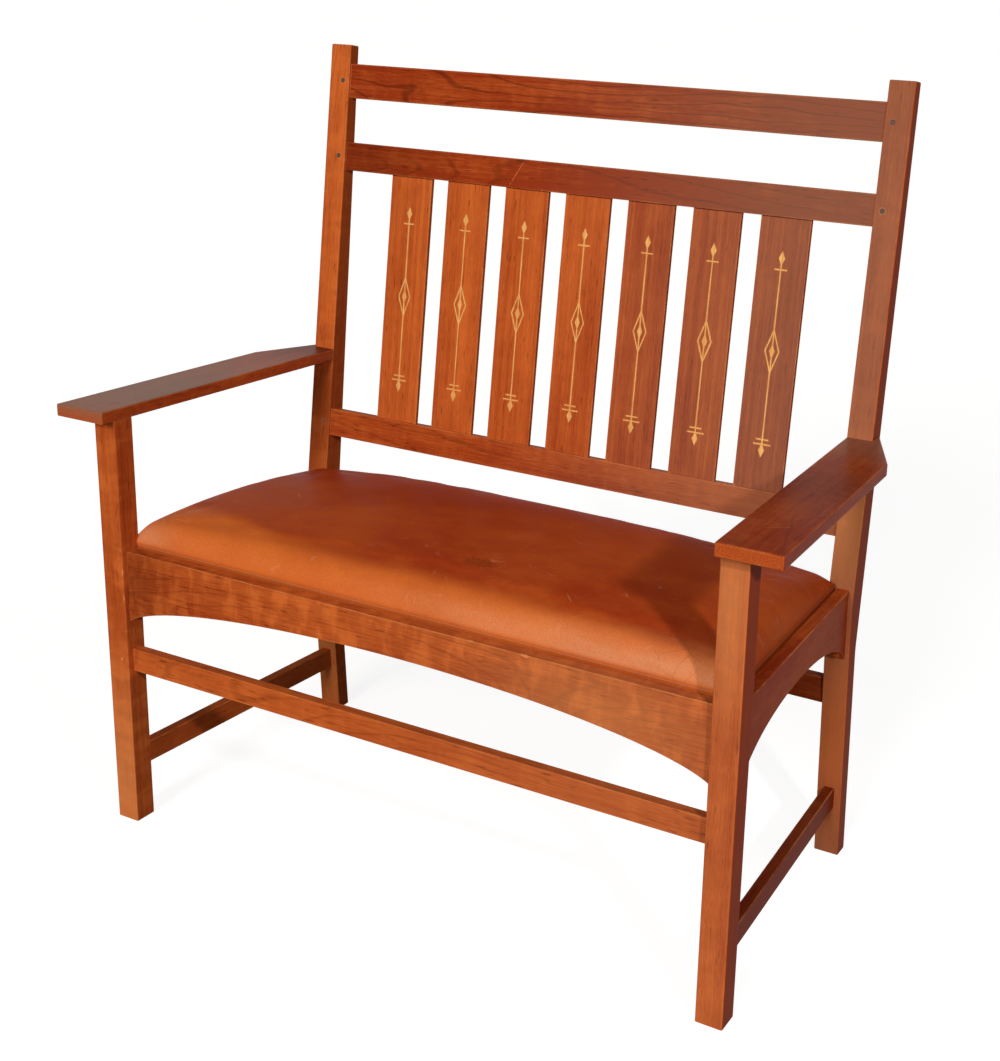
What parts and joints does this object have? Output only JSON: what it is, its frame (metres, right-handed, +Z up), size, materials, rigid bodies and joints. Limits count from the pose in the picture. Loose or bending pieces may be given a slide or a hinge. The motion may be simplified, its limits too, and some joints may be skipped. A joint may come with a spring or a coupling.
{
  "type": "mission settle",
  "caption": "Two-seat wooden settle with a leaning slatted back, flat board arms, arched aprons and a leather drop-in seat.",
  "frame": {"origin": "on the floor, at the middle of the bounding box's bottom face", "axes": "+Z up, the front of the seat faces -Y, +X to the right as seen from the front"},
  "size_m": [1.1078, 0.569, 1.1328],
  "materials": {
    "cherry": "aged cherry, satin varnish",
    "inlay": "pale wood line inlay, flush and varnished",
    "peg": "dark end-grain peg",
    "plain_wood": "unfinished secondary hardwood",
    "leather": "tan waxed leather with a worn sheen",
    "webbing": "woven jute webbing",
    "foam": "seat foam",
    "dust_cloth": "thin black dust cloth",
    "steel": "zinc-plated screws and blued tacks"
  },
  "bodies": {
    "frame": {"front_post_left": "cherry", "front_post_right": "cherry", "back_post_left": "cherry", "back_post_right": "cherry", "front_apron": "cherry", "front_stretcher": "cherry", "back_stretcher": "cherry", "back_seat_rail": "cherry", "side_apron_left": "cherry", "side_apron_right": "cherry", "side_stretcher_left": "cherry", "side_stretcher_right": "cherry", "crest_rail": "cherry", "middle_back_rail": "cherry", "lower_back_rail": "cherry", "slat_1": "cherry", "slat_2": "cherry", "slat_3": "cherry", "slat_4": "cherry", "slat_5": "cherry", "slat_6": "cherry", "slat_7": "cherry", "arm_left": "cherry", "arm_right": "cherry", "slat_inlay_1": "inlay", "slat_inlay_2": "inlay", "slat_inlay_3": "inlay", "slat_inlay_4": "inlay", "slat_inlay_5": "inlay", "slat_inlay_6": "inlay", "slat_inlay_7": "inlay", "back_rail_pegs": "peg", "arm_dowels": "plain_wood", "seat_cleat_front": "plain_wood", "seat_cleat_back": "plain_wood", "seat_cleat_left": "plain_wood", "seat_cleat_right": "plain_wood", "front_corner_block_left": "plain_wood", "front_corner_block_right": "plain_wood", "back_corner_block_left": "plain_wood", "back_corner_block_right": "plain_wood", "cleat_screws": "steel", "corner_block_screws": "steel"},
    "seat": {"seat_frame_front": "plain_wood", "seat_frame_back": "plain_wood", "seat_frame_brace": "plain_wood", "seat_frame_side_left": "plain_wood", "seat_frame_side_right": "plain_wood", "seat_webbing": "webbing", "seat_foam": "foam", "leather_cover": "leather", "dust_cover": "dust_cloth", "cover_tacks": "steel"}
  },
  "joints": [
    {"name": "seat_lift", "type": "slide", "parent": "frame", "child": "seat", "axis": [0, 0, 1], "range_m": [0, 0.12]}
  ]
}
